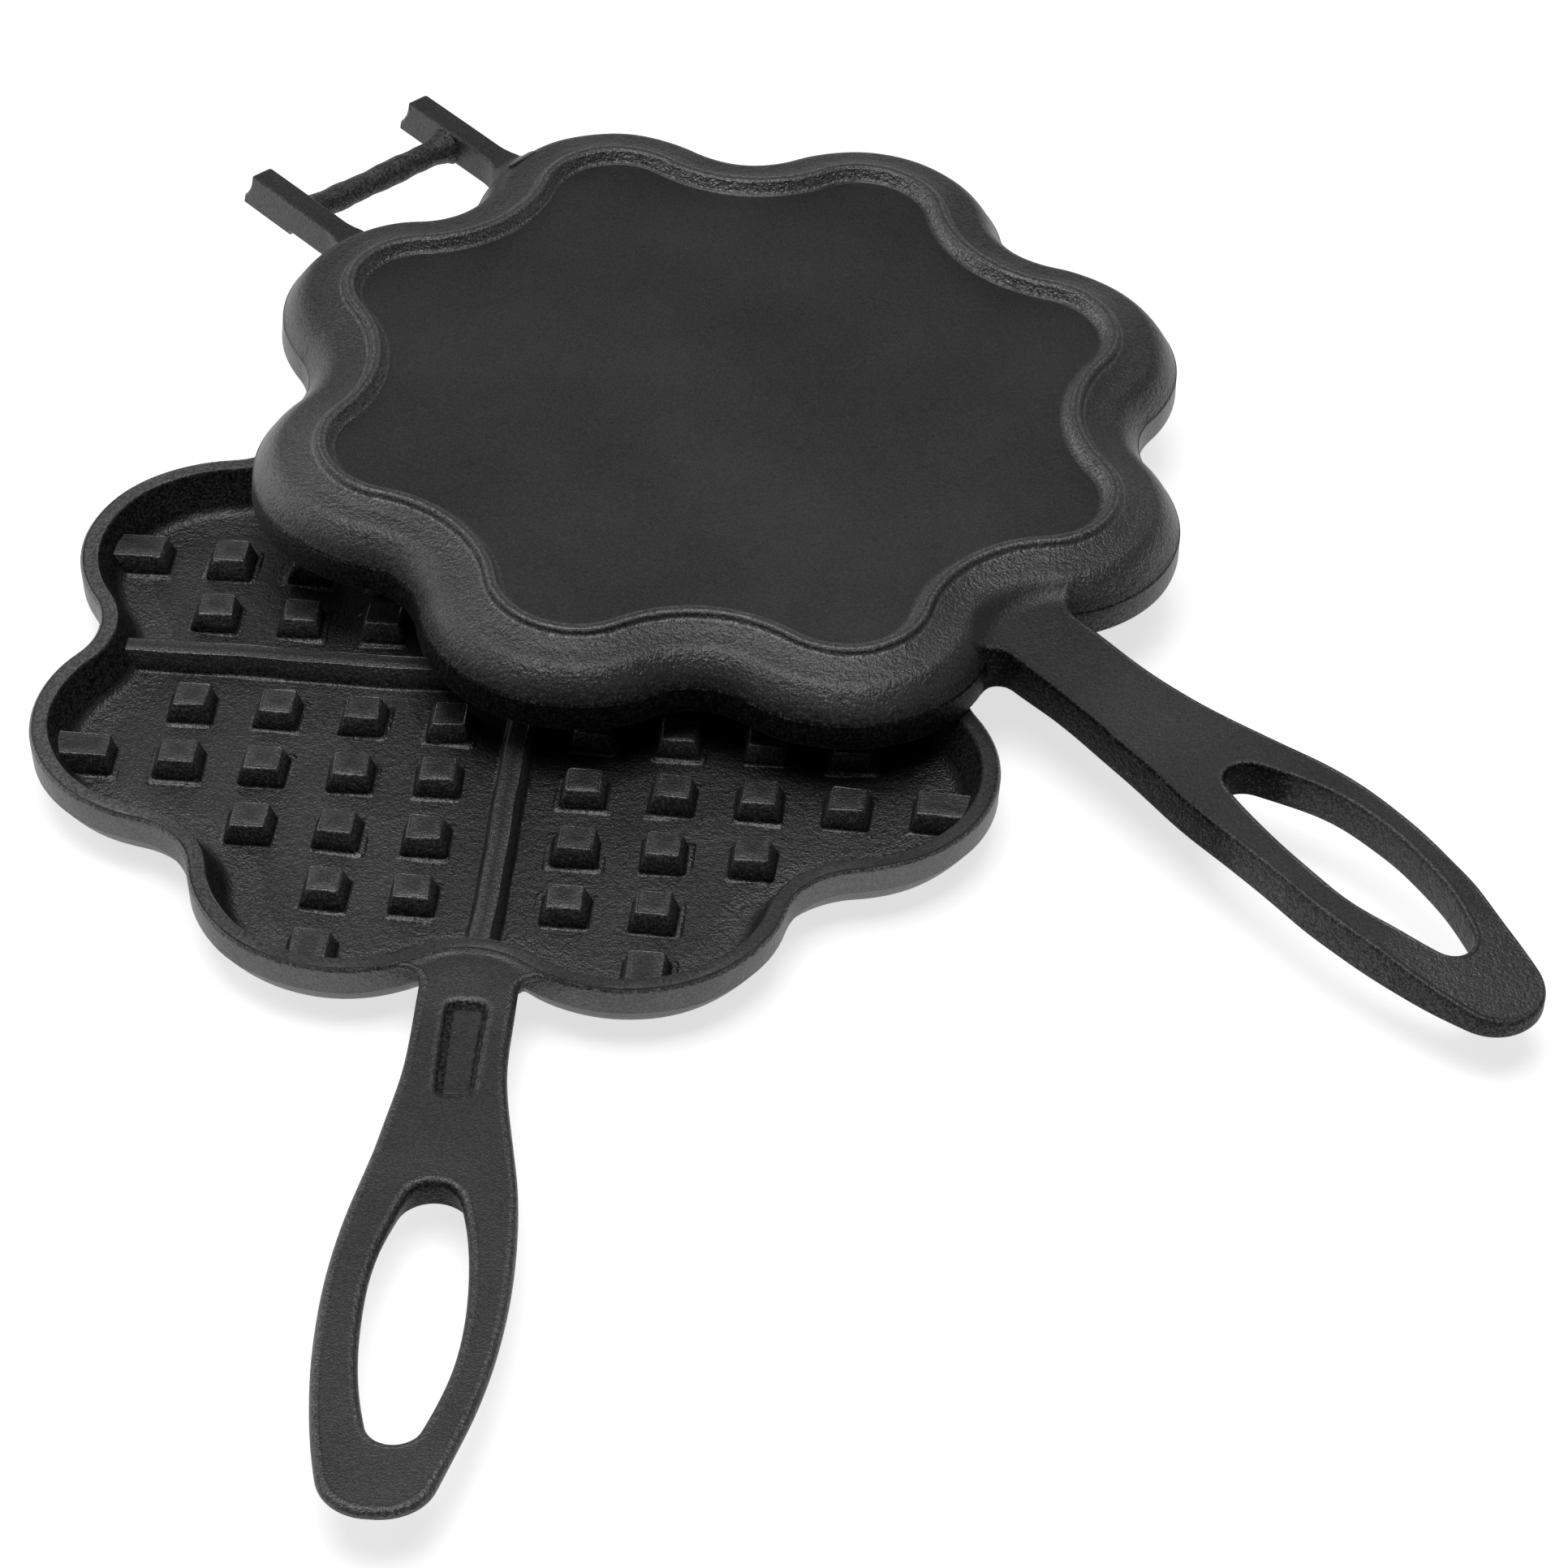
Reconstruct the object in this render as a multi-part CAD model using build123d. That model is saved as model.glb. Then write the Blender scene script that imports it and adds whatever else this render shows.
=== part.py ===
from build123d import *
import os
from math import atan2, cos, degrees, pi, sin, sqrt

# Heart waffle iron: two grey-iron castings that hook together at the back.
# Each casting is a scalloped pan with eight lobes, four hearts of waffle blocks,
# a flat handle with a long eye, and one side of a lift-off hinge.
# The halves lie unhooked, the upper one back up and askew on the lower one.
#
# Each casting is drawn in its own frame: the plate centre on the ground rim face,
# +Z towards the domed back, the handle along -Y and the hinge along +Y.
# All lengths are in millimetres.

# Plate outline: round lobes joined by hollow notches
lobe_count = 8
plate_radius = 100.0
notch_depth = 13.5
notch_arc = 15.4
rim_width = 3.6

# Wall of the pan, as insets from the outline and heights from the rim face towards the back
flange_height = 6.0
dome_inset = 5.0
dome_height = 12.4
bead_foot_inset = 11.8
bead_outer_inset = 13.6
bead_inner_inset = 15.2
bead_height = 14.8
disc_inset = 17.2
disc_height = 12.4

# Cavity of the pan
cavity_depth = 8.4
cavity_foot_inset = 7.6

# Waffle pattern: blocks stand in rows beside a cross of two ribs
pattern_pitch = 17.0
first_block = 14.4
block_top = 6.5
block_base = 9.4
rib_top = 3.6
rib_base = 6.6
pattern_below_rim = 4.0
row_spans = ((1, 4), (1, 5), (1, 3), (1, 2), (2, 2))
wall_blocks = ((5, 2), (2, 5))
wall_run = 4.0

# Handle
handle_reach = 137.5
neck_half_width = 9.2
neck_length = 19.5
neck_fillet = 3.5
paddle_reach = 50.5
paddle_half_width = 15.7
tip_arc = 10.0
handle_face_drop = 1.0
handle_thickness = 8.5
handle_chamfer = 1.2
tip_thickness = 3.8
tip_slope = 28.5
eye_reach = 48.5
eye_half_length = 31.0
eye_half_width = 10.0
eye_end_arc = 5.0

# Bare pad in a groove, in the face of the lower handle's neck
groove_gap = 13.0
groove_length = 24.5
groove_width = 8.8
groove_depth = 1.2
groove_corner = 2.4
pad_margin = 1.1
pad_drop = 0.3

# Hinge: a bar between two arms on the upper half, a hook on the lower half
bar_standoff = 24.5
bar_height = 4.0
bar_radius = 3.4
arm_inner = 19.4
arm_width = 5.5
arm_height = 8.6
arm_overhang = 16.0
arm_relief = 0.9
arm_end_arc = 9.0
arm_end_depth = 2.9
hook_clearance = 0.5
hook_wall = 4.7
hook_width = 16.0
hook_cheek_height = 8.0
tongue_drop = 0.8
tongue_depth = 9.0
tongue_taper = 18.0

# How the upper half lies on the lower one
upper_right = 31.8
upper_back = 69.9
upper_turn = 47.19
upper_tilt_back = 1.27
upper_tilt_side = 2.08
contact_radius = 93.0
rest_gap = 0.3

# One overrun serves every cut
overrun = 2.0

# Worked out from the sizes above
lobe_angle = 2 * pi / lobe_count
notch_radius = plate_radius - notch_depth
notch_centre = notch_radius + notch_arc
lobe_centre = ((plate_radius + notch_arc) ** 2 - notch_centre**2) / (
    2 * (plate_radius + notch_arc - notch_centre * cos(lobe_angle / 2))
)
lobe_arc = plate_radius - lobe_centre
wall_root = notch_radius - dome_inset
neck_end = notch_radius + neck_length
handle_length = notch_radius + handle_reach
paddle_place = handle_length - paddle_reach
eye_place = handle_length - eye_reach
handle_back = handle_face_drop + handle_thickness
bar_place = notch_radius + bar_standoff
arm_tip = bar_place + arm_overhang
hook_bore = bar_radius + hook_clearance
hook_outer = hook_bore + hook_wall


def at_angle(distance, angle):
    """Point at a distance from the plate centre, in the plane."""
    return Vector(distance * cos(angle), distance * sin(angle))


def lobed_face(inset, height):
    """Face inside the plate outline, moved in by the inset, at a height: two tangent arcs a lobe."""
    edges = []
    for lobe in range(lobe_count):
        middle = (lobe + 0.5) * lobe_angle
        crown = at_angle(lobe_centre, middle)
        before = at_angle(notch_centre, middle - lobe_angle / 2)
        after = at_angle(notch_centre, middle + lobe_angle / 2)
        following = at_angle(lobe_centre, middle + lobe_angle)
        reach = lobe_arc - inset
        start = crown + (before - crown).normalized() * reach
        end = crown + (after - crown).normalized() * reach
        resume = following + (after - following).normalized() * reach
        tip = at_angle(plate_radius - inset, middle)
        valley = at_angle(notch_radius - inset, middle + lobe_angle / 2)
        edges.append(ThreePointArc(start, tip, end))
        edges.append(ThreePointArc(end, valley, resume))
    return Pos(0, 0, height) * make_face(edges)


def across(profile, width):
    """Solid of a width, half on each side of the middle plane, with a profile drawn in (Y, Z)."""
    return extrude(make_face(Plane.YZ * profile), width / 2, both=True)


def lobed_solid(profile):
    """Solid whose wall runs straight from one inset of the plate outline to the next, as (inset, height)."""
    return loft([lobed_face(inset, height) for inset, height in profile], ruled=True)


def cavity():
    """Space inside the rim, from the rim face to the cavity floor."""
    return lobed_solid([(rim_width, 0), (cavity_foot_inset, cavity_depth)])


def pan_envelope():
    """Pan without its cavity: flange, domed wall, standing bead and recessed disc."""
    wall = [(0, 0), (0, flange_height), (dome_inset, dome_height)]
    bead = [(bead_foot_inset, dome_height), (bead_outer_inset, bead_height)]
    recess = [(disc_inset, disc_height), (bead_inner_inset, bead_height)]
    return lobed_solid(wall) + lobed_solid(bead) - lobed_solid(recess)


def ribs():
    """Cross of two tapered ribs between the hearts, ending in the cavity wall."""
    section = Polyline(
        (-rib_base / 2, cavity_depth),
        (rib_base / 2, cavity_depth),
        (rib_top / 2, pattern_below_rim),
        (-rib_top / 2, pattern_below_rim),
        close=True,
    )
    bar = extrude(make_face(Plane.XZ * section), plate_radius, both=True)
    cross = bar + Rot(0, 0, 90) * bar
    return cross & cavity()


def block(column, row):
    """One waffle block, a square pyramid cut off at its flat top; the outermost ones run on into the wall."""
    height = cavity_depth - pattern_below_rim
    draft = degrees(atan2((block_base - block_top) / 2, height))
    run = wall_run if (column, row) in wall_blocks else 0
    across_run, up_run = (run, 0) if column > row else (0, run)
    pyramid = extrude(Rectangle(block_base + across_run, block_base + up_run), height, taper=draft)
    across_heart = first_block + (column - 1) * pattern_pitch + across_run / 2
    up_heart = first_block + (row - 1) * pattern_pitch + up_run / 2
    return Pos(across_heart, up_heart, cavity_depth) * Rot(180, 0, 0) * pyramid


def heart_blocks():
    """Blocks of one heart, row by row, cut where the outermost ones run into the wall."""
    space = cavity()
    solids = []
    for row, (first, last) in enumerate(row_spans, start=1):
        for column in range(first, last + 1):
            solids += (block(column, row) & space).solids()
    return solids


def blocks():
    """Blocks of all four hearts."""
    heart = heart_blocks()
    return [Rot(0, 0, turn) * solid for turn in (0, 90, 180, 270) for solid in heart]


def mirrored_outline(right_side):
    """Closed face from the edges of its right side and their mirror image."""
    left_side = [edge.mirror(Plane.YZ) for edge in right_side]
    return make_face(right_side + left_side)


def tangent_radius(half_width, half_length, end_arc):
    """Radius of a side arc that reaches a half width and runs into an end arc."""
    run = half_length - end_arc
    return (half_width**2 + run**2 - end_arc**2) / (2 * (half_width - end_arc))


def arc_about(centre, radius, angle_1, angle_2):
    """Arc about a centre between two angles in radians."""
    points = [centre + at_angle(radius, angle) for angle in (angle_1, (angle_1 + angle_2) / 2, angle_2)]
    return ThreePointArc(*points)


def handle_outline():
    """Outline of the handle: root, neck, sides that swell to the paddle, round tip."""
    widening = paddle_half_width - neck_half_width
    swell = paddle_place - neck_end
    side_arc = (widening**2 + swell**2) / (4 * widening)
    turn = atan2(swell, 2 * side_arc - widening)
    hollow = Vector(neck_half_width + side_arc, -neck_end)
    belly = Vector(paddle_half_width - side_arc, -paddle_place)
    tip_run = handle_length - paddle_place
    grip_arc = tangent_radius(paddle_half_width, tip_run, tip_arc)
    grip = Vector(paddle_half_width - grip_arc, -paddle_place)
    tip = Vector(0, tip_arc - handle_length)
    tip_angle = atan2(tip.Y - grip.Y, tip.X - grip.X)
    right = [
        Line((0, -wall_root), (neck_half_width, -wall_root)),
        Line((neck_half_width, -wall_root), (neck_half_width, -neck_end)),
        arc_about(hollow, side_arc, pi, pi + turn),
        arc_about(belly, side_arc, turn, 0),
        arc_about(grip, grip_arc, 0, tip_angle),
        arc_about(tip, tip_arc, tip_angle, -pi / 2),
    ]
    return mirrored_outline(right)


def eye_outline():
    """Long eye in the paddle, two side arcs and two end arcs."""
    side_arc = tangent_radius(eye_half_width, eye_half_length, eye_end_arc)
    side = Vector(eye_half_width - side_arc, 0)
    end = Vector(0, eye_half_length - eye_end_arc)
    angle = atan2(end.Y - side.Y, end.X - side.X)
    right = [
        arc_about(-end, eye_end_arc, -pi / 2, -angle),
        arc_about(side, side_arc, -angle, angle),
        arc_about(end, eye_end_arc, angle, pi / 2),
    ]
    return Pos(0, -eye_place, 0) * mirrored_outline(right)


def tip_wedge():
    """Wedge that thins the back of the handle towards its tip."""
    profile = Polyline(
        (tip_slope - handle_length, handle_back),
        (-handle_length, handle_face_drop + tip_thickness),
        (-handle_length - overrun, handle_face_drop + tip_thickness),
        (-handle_length - overrun, handle_back + overrun),
        (tip_slope - handle_length, handle_back + overrun),
        close=True,
    )
    return across(profile, 2 * (paddle_half_width + overrun))


def neck_corners():
    """Two hollow corners where the neck runs into the lobes beside it."""
    crown = at_angle(lobe_centre, (lobe_angle - pi) / 2)
    reach = neck_half_width + neck_fillet
    drop = sqrt((lobe_arc + neck_fillet) ** 2 - (crown.X - reach) ** 2)
    corner = crown.Y - drop
    depth = -notch_radius - corner
    plate = Pos(0, corner + depth / 2, 0) * Rectangle(2 * reach, depth)
    for side in (-1, 1):
        plate -= Pos(side * reach, corner, 0) * Circle(neck_fillet)
    return extrude(plate, handle_thickness)


def handle(envelope):
    """Handle casting from the pan wall to the tip, cut to the pan's surface."""
    body = extrude(handle_outline(), handle_thickness)
    body = chamfer(body.faces().filter_by(Axis.Z).edges(), handle_chamfer) + neck_corners()
    body -= extrude(eye_outline(), handle_thickness)
    body = Pos(0, 0, handle_face_drop) * body
    body -= tip_wedge()
    return body - envelope


def face_groove():
    """Rounded groove in the face of the neck, round a pad that stands a little lower than the face."""
    groove = extrude(RectangleRounded(groove_width, groove_length, groove_corner), groove_depth)
    pad = Rectangle(groove_width - 2 * pad_margin, groove_length - 2 * pad_margin)
    groove -= Pos(0, 0, pad_drop) * extrude(pad, groove_depth)
    return Pos(0, -notch_radius - groove_gap - groove_length / 2, handle_face_drop) * groove


def hinge_arm(envelope):
    """Arm at the right of the bar, with a relieved underside and a hollowed end."""
    profile = Polyline(
        (wall_root, arm_relief),
        (bar_place, arm_relief),
        (bar_place, 0),
        (arm_tip, 0),
        (arm_tip, arm_height),
        (wall_root, arm_height),
        close=True,
    )
    hollow = Pos(arm_tip - arm_end_depth + arm_end_arc, arm_height) * Circle(arm_end_arc).edge()
    arm = across(profile, arm_width) - across(hollow, arm_width)
    return Pos(arm_inner + arm_width / 2, 0, 0) * arm - envelope


def hinge_bar():
    """Round bar from arm to arm."""
    bar = Cylinder(bar_radius, 2 * arm_inner, rotation=(0, 90, 0))
    return Pos(0, bar_place, bar_height) * bar


def hinge_hook(envelope):
    """Tongue that ends in an open cradle for the bar, with a cheek before and behind it."""
    profile = Polyline(
        (wall_root, tongue_drop),
        (bar_place, tongue_drop),
        (bar_place, hook_outer - bar_height),
        (bar_place - tongue_taper, tongue_depth),
        (wall_root, tongue_depth),
        close=True,
    )
    eye = Pos(bar_place, -bar_height) * Circle(hook_outer).edge()
    hook = across(profile, hook_width) + across(eye, hook_width)
    mouth = Circle(hook_bore) + Pos(0, -hook_outer) * Rectangle(2 * hook_bore, 2 * hook_outer)
    crown = Pos(0, bar_height - hook_cheek_height - hook_outer) * Rectangle(2 * hook_outer, 2 * hook_outer)
    gap = Pos(bar_place, -bar_height) * (mouth + crown)
    return hook - extrude(Plane.YZ * gap, hook_width, both=True) - envelope


def lower_place():
    """Place of the lower half: back down on its bead."""
    return Pos(0, 0, bead_height) * Rot(0, 180, 0)


def upper_place():
    """Place of the upper half: back up, turned, shifted and leaning, a small gap above the lower rim."""
    lean = Rot(upper_tilt_back, upper_tilt_side, 0)
    normal = Vector(0, 0, 1).rotate(Axis.X, upper_tilt_back).rotate(Axis.Y, upper_tilt_side)
    spread = sqrt(upper_right**2 + upper_back**2)
    half_chord = sqrt(contact_radius**2 - spread**2 / 4)
    contact_x = upper_right / 2 + half_chord * upper_back / spread
    contact_y = upper_back / 2 - half_chord * upper_right / spread
    rise = (normal.X * (contact_x - upper_right) + normal.Y * (contact_y - upper_back)) / normal.Z
    return Pos(upper_right, upper_back, bead_height + rest_gap + rise) * lean * Rot(0, 0, upper_turn)


def as_group(solids):
    """One shape that holds several separate solids."""
    return Compound(children=[Solid(solid.wrapped) for solid in solids])


def build_parts():
    """All sub-parts of both castings in their places, by name."""
    envelope = pan_envelope()
    shell = envelope - cavity()
    cross = ribs()
    teeth = blocks()
    grip = handle(envelope)
    arm = hinge_arm(envelope)
    lower = {
        "lower_pan": [shell],
        "lower_ribs": [cross],
        "lower_blocks": teeth,
        "lower_handle": [grip - face_groove()],
        "lower_hinge_hook": [hinge_hook(envelope)],
    }
    upper = {
        "upper_pan": [shell],
        "upper_ribs": [cross],
        "upper_blocks": teeth,
        "upper_handle": [grip],
        "upper_hinge_arms": [arm, arm.mirror(Plane.YZ)],
        "upper_hinge_bar": [hinge_bar()],
    }
    placed = {}
    for half, place in ((lower, lower_place()), (upper, upper_place())):
        for name, shapes in half.items():
            placed[name] = [place * solid for shape in shapes for solid in shape.solids()]
    return placed


def main():
    """Centre the arrangement over its footprint and write one file for each sub-part."""
    placed = build_parts()
    boxes = [solid.bounding_box() for solids in placed.values() for solid in solids]
    middle_x = (min(box.min.X for box in boxes) + max(box.max.X for box in boxes)) / 2
    middle_y = (min(box.min.Y for box in boxes) + max(box.max.Y for box in boxes)) / 2
    print("plate centre of the lower half", -middle_x, -middle_y)
    os.makedirs("parts", exist_ok=True)
    for name, solids in placed.items():
        moved = [Pos(-middle_x, -middle_y, 0) * solid for solid in solids]
        export_step(as_group(moved), os.path.join("parts", name + ".step"))


main()
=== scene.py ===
import bmesh
import bpy
import numpy as np
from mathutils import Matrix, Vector


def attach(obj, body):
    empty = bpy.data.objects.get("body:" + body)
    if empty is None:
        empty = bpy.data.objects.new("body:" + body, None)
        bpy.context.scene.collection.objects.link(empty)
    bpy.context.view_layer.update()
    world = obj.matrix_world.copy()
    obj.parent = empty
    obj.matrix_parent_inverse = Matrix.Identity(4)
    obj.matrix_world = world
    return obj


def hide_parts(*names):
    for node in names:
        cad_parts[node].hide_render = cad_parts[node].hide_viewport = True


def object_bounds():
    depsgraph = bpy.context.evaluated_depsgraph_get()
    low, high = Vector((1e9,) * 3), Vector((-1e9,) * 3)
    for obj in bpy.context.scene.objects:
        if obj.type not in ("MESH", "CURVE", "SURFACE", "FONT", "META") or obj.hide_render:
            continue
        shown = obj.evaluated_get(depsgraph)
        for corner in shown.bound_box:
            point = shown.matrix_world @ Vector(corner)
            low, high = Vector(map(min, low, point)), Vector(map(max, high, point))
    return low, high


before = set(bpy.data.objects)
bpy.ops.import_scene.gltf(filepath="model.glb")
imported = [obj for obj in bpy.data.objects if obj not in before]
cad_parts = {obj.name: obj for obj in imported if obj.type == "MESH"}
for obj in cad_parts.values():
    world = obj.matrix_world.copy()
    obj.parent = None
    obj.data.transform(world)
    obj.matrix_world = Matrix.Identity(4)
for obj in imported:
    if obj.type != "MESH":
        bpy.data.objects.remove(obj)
cad_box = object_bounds()

# Lengths are in millimetres in the frame of one casting: the plate centre on the ground rim face,
# +Z towards the domed back, the handle along -Y and the hinge along +Y.
MM = 0.001
TURN = 2 * np.pi

# Plate outline: round lobes joined by hollow notches
lobes = 8
plate_radius = 100.0
notch_radius = 86.5
notch_arc = 15.4
notch_centre = notch_radius + notch_arc
half_lobe = np.pi / lobes
sector = 2 * half_lobe
lobe_centre = ((plate_radius + notch_arc) ** 2 - notch_centre**2) / (
    2 * (plate_radius + notch_arc - notch_centre * np.cos(half_lobe))
)
lobe_arc = plate_radius - lobe_centre
crown_x, crown_y = lobe_centre * np.sin(half_lobe), lobe_centre * np.cos(half_lobe)
lobe_swing = np.arctan2(notch_centre * np.sin(half_lobe), notch_centre * np.cos(half_lobe) - lobe_centre)
notch_swing = lobe_swing - half_lobe

# Wall of the pan
rim_width = 3.6
flange_height = 6.0
step_inset = 0.5
skirt_slope = 6.0
dome_inset = 6.6
dome_height = 12.35
dome_power = 1.8
ledge_height = 13.6
bead_height = 14.8
disc_height = 12.4
cavity_depth = 8.4

# Section of the pan: corners as (inset, height, radius of the corner)
wall_join = (5.6, 4.2, 0)
wall_share = 0.92
rim_corners = (
    wall_join, (rim_width, 0, 0.5), (0, 0, 0.85),
    (0.3, flange_height - 0.1, 0.08), (step_inset, flange_height, 0),
)
bead_corners = (
    (dome_inset, dome_height, 0), (9.4, 12.75, 3.0), (12.5, ledge_height, 0.5), (13.5, bead_height, 0.5),
    (15.1, bead_height, 0.4), (16.6, disc_height, 0.6), (19.5, disc_height, 0),
)
cavity_corners = ((14.5, cavity_depth, 0), (7.9, cavity_depth, 2.4), wall_join)

# Bands of tone on the section of the pan, as (inset, spread, strength): light bands of wear and painted
# highlight at the bead's and rim's edges, side and crown, and bands of painted shade in the creases at the
# bead's feet
bead_edges = ((13.75, 0.22, 0.65), (14.85, 0.22, 0.4), (12.4, 0.25, 0.4), (16.3, 0.5, 0.2))
bead_side = ((15.9, 0.6, 0.55),)
bead_crown = ((14.3, 0.9, 0.16),)
bead_feet = ((13.0, 0.3, 0.85), (16.75, 0.25, 0.6))
rim_edges = ((0.25, 0.3, 0.3), (3.55, 0.3, 0.2))

# Waffle pattern
pitch = 17.0
first_block = 14.4
block_top = 6.5
block_base = 9.2
block_flare = 1.3
block_flat = 0.9
pattern_top = 4.0
pattern_sink = 1.6
rib_top = 3.6
rib_base = 6.4
rib_flare = 1.2
rib_half_length = 83.2
row_spans = ((1, 4), (1, 5), (1, 3), (1, 2), (2, 2))
wall_blocks = ((5, 2), (2, 5))
wall_run = 4.0

# How unevenly the blocks are cast: share of their size, twist, shift and lean of the top
block_uneven = 0.018
block_twist = 0.02
block_shift = 0.12
block_lean = 0.14
block_seeds = {"lower": 11, "upper": 12}

# Ripples along the ribs and the bar, as (height, length, phase)
rib_ripples = ((0.10, 7.3, 0.0), (0.08, 3.1, 2.0))
bar_ripples = ((0.10, 2.3, 0.0), (0.08, 0.9, 1.0))

# Handle
handle_face = 1.0
handle_back = 9.5
handle_length = 224.0
tip_back = 4.8
tip_slope = 28.5
tip_bend = 0.6
neck_half_width = 9.2
neck_end = 106.0
neck_fillet = 3.5
fine_end = 127.0
coarse_step = 1.5
spread_start, spread_end = 112.0, 135.0
paddle_place = 173.5
paddle_half_width = 15.7
tip_arc = 10.0
eye_place = 175.5
eye_half_length = 31.0
eye_end_arc = 5.0
eye_near_share = 0.055
ring_start = 138.0
face_round = 0.3
face_rises = ((16.0, 2.0, 0.68), (0.8, 0.0, 0.18))
face_rise_end = 110.0
# Between these places the painted shade on one side wall of the upper handle fades out.
near_dark_start, near_dark_end = 150.0, 178.0
tip_bow_start, tip_bow_end = 185.0, 212.0
# Between these places the upper handle's tip turns lighter and rougher.
tip_lighter_start, tip_lighter_end = 192.0, 208.0
# Between these places the painted shade on the eye's walls and its light edge line grow stronger.
eye_near_start, eye_near_end = 18.0, 30.0
dome_fillet = 4.5
skin_gap = 0.05

# Root of the handle under the rim: angles past the touching point, and shares of the inset there
root_inset = 2.6
root_lean = 3.4
root_swell = 2.2
root_sharpness = 0.65
root_angles = np.array([0.155, 0.1, 0.05])
root_shares = np.array([1.0, 0.55, 0.2])

# Groove with a bare pad in the face of the lower handle's neck
groove_x, groove_y = -0.43, -111.6
groove_half_width = 4.1
groove_taper = 0.015
groove_half_length = 12.95
groove_corner = 2.8
groove_rough = 0.09
groove_rough_length = 1.7
groove_seed = 21
groove_far = -124.5
groove_fade = 4.5
groove_near = -103.0
pad_shift_x, pad_shift_y = -0.45, -0.8
pad_rise = 0.75

# Hinge
bar_place = 111.0
bar_height = 4.0
bar_radius = 3.4
bar_waist = 0.55
bar_reach = 20.6
bar_flare_start = 14.4
bar_flare_run = 5.0
bar_flare = 1.6
bar_flare_below, bar_flare_above = 3.9, 4.4
arm_inner = 19.4
arm_width = 5.5
arm_height = 8.6
arm_tip = 127.0
arm_end_arc = 9.0
arm_end_depth = 2.9
arm_hollow_top = 0.9
arm_hollow_end = 2.2
arm_nose = (arm_tip - 0.03, 0.7)
arm_root = 88.0
arm_under_root = 91.6
arm_relief = 0.9
arm_round = 0.7
arm_flare = 0.35
arm_flare_place = 94.3
arm_flare_run = 5.0
arm_fillet = 3.0
hinge_turn = 0.95


class Form:
    """Sizes and tones by name."""

    def __init__(self, **values):
        self.__dict__.update(values)


# Where the two handles differ: bows are (distance from the plate centre, spread, shift along X)
# wall_dark, eye_dark and near_dark set the painted shade on the outer walls, on the eye's walls and on one
# side wall near the root; edge_fade fades in the light edge line of wear and painted highlight.
handle_forms = {
    "lower": Form(
        length=222.7, eye_half_width=8.9, draft=1.8, spread=0.6, edge_round=1.6, neck_step=0.4, columns=61,
        eye_lean=0.028, eye_shift=-0.3, eye_drop=0.6, bows=((148, 26, -1.3), (186, 18, -0.6)), tip_bow=0.0,
        grooved=1.0, wall_dark=0.2, eye_dark=0.3, near_dark=0.0, tip_lighter=0.0, edge_fade=(106, 135),
    ),
    "upper": Form(
        length=handle_length, eye_half_width=10.0, draft=0.0, spread=0.0, edge_round=0.9, neck_step=1.5,
        columns=25, eye_lean=-0.01, eye_shift=0.7, eye_drop=0.0, bows=((165, 18, 1.8), (120, 16, -0.6)),
        # The tip value makes the upper handle's tip lighter and rougher.
        tip_bow=-0.9, grooved=0.0, wall_dark=0.6, eye_dark=0.5, near_dark=0.95, tip_lighter=1.0,
        edge_fade=(120, 185),
    ),
}


# Places of the two castings


def turned(axis, degrees):
    """Matrix of a turn about one of the three axes."""
    angle = np.radians(degrees)
    one, two = [i for i in range(3) if i != axis]
    matrix = np.eye(3)
    matrix[one, one] = matrix[two, two] = np.cos(angle)
    matrix[one, two] = -np.sin(angle) if axis != 1 else np.sin(angle)
    matrix[two, one] = -matrix[one, two]
    return matrix


# The upper half is shifted, tilted and turned from the lower one; its front is the side nearest the viewer
lower_centre = np.array([-52.063, 24.807, bead_height])
lower_turn = turned(1, 180)
upper_centre = lower_centre + np.array([31.8, 69.9, 4.0761])
upper_turn = turned(0, 1.27) @ turned(1, 2.08) @ turned(2, 47.19)
upper_front = np.radians(-137.2)
halves = {"lower": (lower_turn, lower_centre), "upper": (upper_turn, upper_centre)}


def placed(points, half):
    """Points of a casting in the scene: turned, moved to the half's place, in metres."""
    turn, centre = halves[half]
    return (points @ turn.T + centre) * MM


# Shared shapes


def waves(points, length, seed, ways=12):
    """Waviness of a cast skin between about -2 and 2: sines that run in scattered directions, added up."""
    chance = np.random.default_rng(seed)
    way = chance.normal(size=(ways, 3))
    way /= np.linalg.norm(way, axis=1, keepdims=True)
    lengths = length * chance.uniform(0.6, 1.7, ways)
    phases = chance.uniform(0, TURN, ways)
    return np.sin(points @ (way * TURN / lengths[:, None]).T + phases).sum(axis=-1) / np.sqrt(ways / 2)


def blend_step(low, high, value):
    """0 at low, 1 at high, and a smooth rise between them."""
    share = np.clip((value - low) / (high - low), 0, 1)
    return share * share * (3 - 2 * share)


def soft_max(one, other, reach):
    """The larger of two values, with a hollow fillet where they are nearly the same."""
    near = np.clip(1 - np.abs(one - other) / reach, 0, 1)
    return np.maximum(one, other) + near**3 * reach / 6


def hump(value, middle, spread):
    """1 at the middle, falling to 0 on both sides as a bell curve."""
    return np.exp(-(((value - middle) / spread) ** 2))


def bands(value, rows):
    """Sum of humps, each given as (middle, spread, strength)."""
    return sum(strength * hump(value, middle, spread) for middle, spread, strength in rows)


def ripple(along, rows):
    """Sum of sines along a length, each given as (height, length, phase)."""
    return sum(height * np.sin(along / length + phase) for height, length, phase in rows)


def spun(x, y, angle):
    """Coordinates turned by an angle about the origin."""
    return x * np.cos(angle) - y * np.sin(angle), x * np.sin(angle) + y * np.cos(angle)


def distances(path):
    """Distance of each point of a path from its start, measured along it."""
    return np.concatenate([[0], np.cumsum(np.hypot(*np.diff(path, axis=0).T))])


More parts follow.
